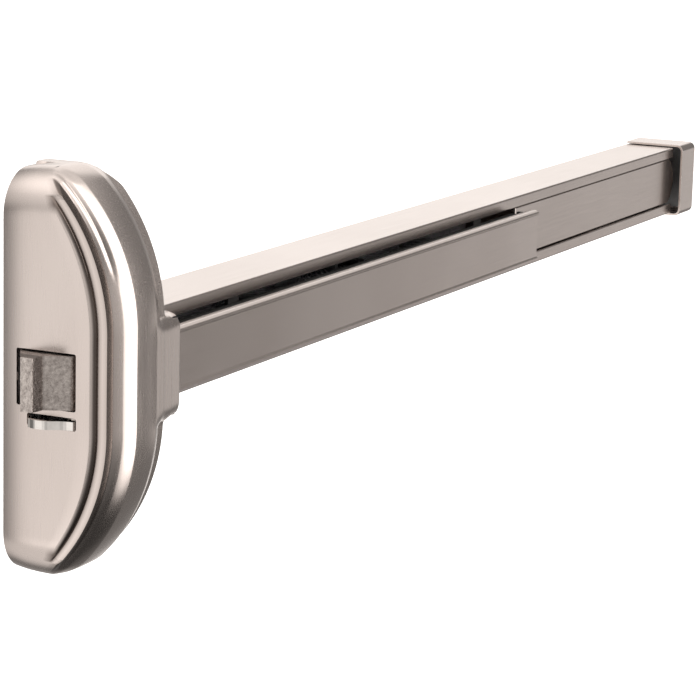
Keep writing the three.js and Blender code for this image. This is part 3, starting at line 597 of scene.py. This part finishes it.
def rail_section(half, depth, lip, wall):
    """A channel open in front between two lips."""
    inside = half - wall
    back = -depth + wall
    points = [(0, -half), (0, half), (-depth, half), (-depth, lip), (back, lip), (back, inside),
              (-wall, inside), (-wall, -inside), (back, -inside), (back, -lip), (-depth, -lip),
              (-depth, -half)]
    radii = [0.5, 0.5, 1.3, 0.6, 0.4, 0.3, 0.3, 0.3, 0.3, 0.4, 0.6, 1.3]
    return rounded(points, radii, 4)


rail_lo, rail_hi = mm_box("rail_channel")
rail_shape = rail_section(rail_hi[2], -rail_lo[1], LIP_EDGE, WALL)
rail = extrude_x("rail", rail_shape, rail_lo[0], rail_hi[0], RAIL)
bevel(rail, 0.25, 2, 60, False)
even(rail)
claim(rail, "frame", "satin_steel", "rail_channel")

pad_lo, pad_hi = mm_box("push_pad")


def pad_section(half, front, back):
    """A flat face with a bead along each edge, folded back at top and bottom."""
    bead, face, inside = front + 0.15, front + 1.0, front + 2.7
    points = [(back, -half), (front + 1.5, -half), (bead, -half + 0.7), (bead, -half + 2.3),
              (face, -half + 3.1), (face, half - 3.1), (bead, half - 2.5), (bead, half - 1.3),
              (front + 2.6, half), (back, half), (back, half - 1.4), (front + 3.2, half - 1.4),
              (inside, half - 2.8), (inside, -half + 1.4), (back, -half + 1.4)]
    radii = [0.3, 1.2, 0.6, 0.6, 0.4, 0.4, 0.7, 1.2, 1.8, 0.3, 0.3, 0.4, 0.4, 0.4, 0.3]
    return rounded(points, radii, 4)


pad_shape = pad_section(pad_hi[2], pad_lo[1], pad_hi[1])
pad = extrude_x("pad_face", pad_shape, pad_lo[0], pad_hi[0], RAIL)
bevel(pad, 0.35, 3, 60, False)
even(pad)
claim(pad, "pad", "satin_steel", "push_pad")

fill_lo, fill_hi = mm_box("filler_plate")


def filler():
    """A flat plate whose end towards the cap is an arc."""
    half, sag = fill_hi[2], 11.0
    reach = (half ** 2 + sag ** 2) / (2 * sag)
    sweep = math.asin(half / reach)
    arc = [(fill_hi[0] - reach + reach * math.cos(a), reach * math.sin(a))
           for a in np.linspace(-sweep, sweep, 36)]
    shape = [(fill_lo[0], -half)] + arc + [(fill_lo[0], half)]
    loops = [[(x, y, z) for x, z in shape] for y in (fill_lo[1], fill_hi[1])]
    piece = loft("filler", loops, RAIL)
    bevel(piece, 0.75, 4, 40, False)
    even(piece)
    return piece


claim(filler(), "frame", "satin_steel", "filler_plate")

cap_lo, cap_hi = mm_box("end_cap")


def cap_loop(x, inset, back):
    """The cap's outline at one x, drawn in by an inset, with its two front corners rounded."""
    half, front = cap_hi[2] - inset, cap_lo[1] + inset
    r = 5.0 - inset
    shape = rounded([(back, -half), (back, half), (front, half), (front, -half)], [0.01, 0.01, r, r], 8)
    return [(x, y, z) for y, z in shape]


def end_cap():
    """A hollow cap, open towards the rail and the door, with two screw holes in its end wall."""
    outer = [cap_loop(cap_lo[0] + t, inset, 0) for t, inset in ((0, 0.35), (0.12, 0.1), (0.4, 0))]
    rim = ((2.2, 0), (1.5, 0.15), (0.8, 0.5), (0.3, 1.0), (0.0, 1.8))
    outer += [cap_loop(cap_hi[0] - t, inset, 0) for t, inset in rim]
    shell = loft("cap_shell", outer, RAIL)
    room = loft("cutter", [cap_loop(cap_lo[0] - 1, 1.5, 1), cap_loop(cap_hi[0] - 1.5, 1.5, 1)], RAIL)
    holes = [drill(-22, z, 1.9, cap_hi[0] - 4, cap_hi[0] + 1, 24) for z in (-13, 13)]
    cut_out(shell, room, *holes)
    shell.data.polygons.foreach_set("use_smooth", [True] * len(shell.data.polygons))
    bevel(shell, 0.2, 2, 50, False)
    even(shell)
    return shell


claim(end_cap(), "frame", "satin_steel", "end_cap")


# ---- screws on the hidden sides --------------------------------------------------------------------------

def screw(node, body):
    """A domed head with a hexagonal socket over the CAD screw's place."""
    low, high = mm_box(node)
    y, z = (low[1] + high[1]) / 2, (low[2] + high[2]) / 2
    r = (high[1] - low[1]) / 2
    ring = np.linspace(0, 2 * math.pi, 48, endpoint=False)

    def loop(x, radius, sides=None):
        out = []
        for a in ring:
            k = radius
            if sides:
                k = radius / math.cos((a % (2 * math.pi / sides)) - math.pi / sides)
            out.append((x, y + k * math.cos(a), z + k * math.sin(a)))
        return out
    top = high[0]
    shank = r * 0.52
    profile = [loop(low[0], shank * 0.8), loop(low[0] + 0.5, shank), loop(top - 2.02, shank),
               loop(top - 2.0, r - 0.3), loop(top - 1.8, r), loop(top - 1.0, r), loop(top - 0.5, r * 0.94),
               loop(top - 0.15, r * 0.8), loop(top, r * 0.62), loop(top - 0.02, r * 0.5, 6),
               loop(top - 0.15, r * 0.46, 6), loop(top - 1.2, r * 0.45, 6)]
    claim(loft(node + "_detail", profile, BRIGHT), body, "polished_steel", node)


for node in ("cover_screw_upper", "cover_screw_lower", "end_cap_screw_upper", "end_cap_screw_lower"):
    screw(node, "frame")


# ---- return spring ---------------------------------------------------------------------------------------

def return_spring():
    """A fine coil between the rod's collar and its bracket."""
    low, high = mm_box("return_spring")
    y, z = (low[1] + high[1]) / 2, (low[2] + high[2]) / 2
    wire, turns, steps, sides = 0.6, 7, 30, 8
    radius = (high[1] - low[1]) / 2 - wire
    first, last = low[0] + wire, high[0] - wire
    loops = []
    for i in range(turns * steps + 1):
        t = i / (turns * steps)
        a = 2 * math.pi * turns * t
        loops.append([(first + (last - first) * t + wire * math.sin(b),
                       y + (radius + wire * math.cos(b)) * math.cos(a),
                       z + (radius + wire * math.cos(b)) * math.sin(a))
                      for b in np.linspace(0, 2 * math.pi, sides, endpoint=False)])
    coil = loft("return_coil", loops, WIRE)
    claim(coil, "frame", "spring_steel", "return_spring")
    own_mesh(coil)


return_spring()


# ---- CAD nodes that stay ---------------------------------------------------------------------------------

EDGES = {"latch_bolt": (0.7, 4), "trigger": (0.5, 3), "head_chassis": (0.3, 2), "end_bracket": (0.3, 2)}
slots = {part["node"]: part["material_slot"] for part in frame["record"]["subparts"]}
for name, obj in frame["nodes"].items():
    obj.data.materials.clear()
    obj.data.materials.append(LOOK[slots[name]])
    if name in EDGES:
        bevel(obj, EDGES[name][0], EDGES[name][1], 35)


# ---- floor and light -------------------------------------------------------------------------------------

floor_z = -1000
floor_mat = plain("floor", (0.93, 0.93, 0.93), (0.92, 0.92, 0.92), 0.0, 0.9, 3, 0.0)
glow = floor_mat.node_tree.nodes["Principled BSDF"].inputs
glow["Emission Color"].default_value = (1, 1, 1, 1)
glow["Emission Strength"].default_value = 0.6
floor = make("floor", [(-30000, -30000, floor_z), (30000, -30000, floor_z), (30000, 30000, floor_z),
                       (-30000, 30000, floor_z)], [(0, 1, 2, 3)], floor_mat, False)
floor.visible_glossy = False


def studio(base, lamps):
    """A soft room round the object: an even level and soft round lamps, each at a bearing and height."""
    world = bpy.data.worlds.new("studio")
    world.use_nodes = True
    tree = world.node_tree
    tree.nodes.clear()
    new, wire = tree.nodes.new, tree.links.new
    way = new("ShaderNodeTexCoord").outputs["Generated"]
    total = None
    for bearing, height, inner, outer, gain in lamps:
        a, e = math.radians(bearing), math.radians(height)
        dot = new("ShaderNodeVectorMath")
        dot.operation = "DOT_PRODUCT"
        dot.inputs[1].default_value = (math.cos(e) * math.cos(a), math.cos(e) * math.sin(a), math.sin(e))
        wire(way, dot.inputs[0])
        fade = new("ShaderNodeMapRange")
        fade.interpolation_type = "SMOOTHSTEP"
        fade.inputs["From Min"].default_value = math.cos(math.radians(outer))
        fade.inputs["From Max"].default_value = math.cos(math.radians(inner))
        fade.inputs["To Min"].default_value = 0
        fade.inputs["To Max"].default_value = gain
        wire(dot.outputs["Value"], fade.inputs[0])
        add = new("ShaderNodeMath")
        add.operation = "ADD"
        add.inputs[1].default_value = base
        wire(fade.outputs[0], add.inputs[0])
        if total:
            wire(total, add.inputs[1])
        total = add.outputs[0]
    lit = new("ShaderNodeBackground")
    lit.inputs[0].default_value = (1, 0.965, 0.935, 1)
    wire(total, lit.inputs[1])
    seen = new("ShaderNodeBackground")
    seen.inputs[0].default_value = (1, 1, 1, 1)
    blend = new("ShaderNodeMixShader")
    wire(new("ShaderNodeLightPath").outputs["Is Camera Ray"], blend.inputs[0])
    wire(lit.outputs[0], blend.inputs[1])
    wire(seen.outputs[0], blend.inputs[2])
    wire(blend.outputs[0], new("ShaderNodeOutputWorld").inputs[0])
    bpy.context.scene.world = world


studio(0.2, [
    (158, -11, 12, 30, 0.9),
    (-66, -26, 6, 18, 1.8), (-68, -8, 8, 24, 2.4), (-68, 14, 8, 26, 2.4), (-66, 40, 8, 26, 2.4),
    (-104, 0, 8, 26, 0.4),
    (-152, 0, 10, 34, 0.55),
    (24, 23, 14, 22, 0.92),
    (-17, -10, 5, 11.5, 0.5), (34, -9, 22, 44, 0.22), (22, -19, 4, 13, 0.9), (-72, -62, 18, 42, -0.15),
    (150, -58, 22, 46, 0.75),
    (160, 55, 20, 60, 0.8), (0, 85, 20, 62, 0.9),
])

bpy.context.scene.view_settings.view_transform = "Standard"
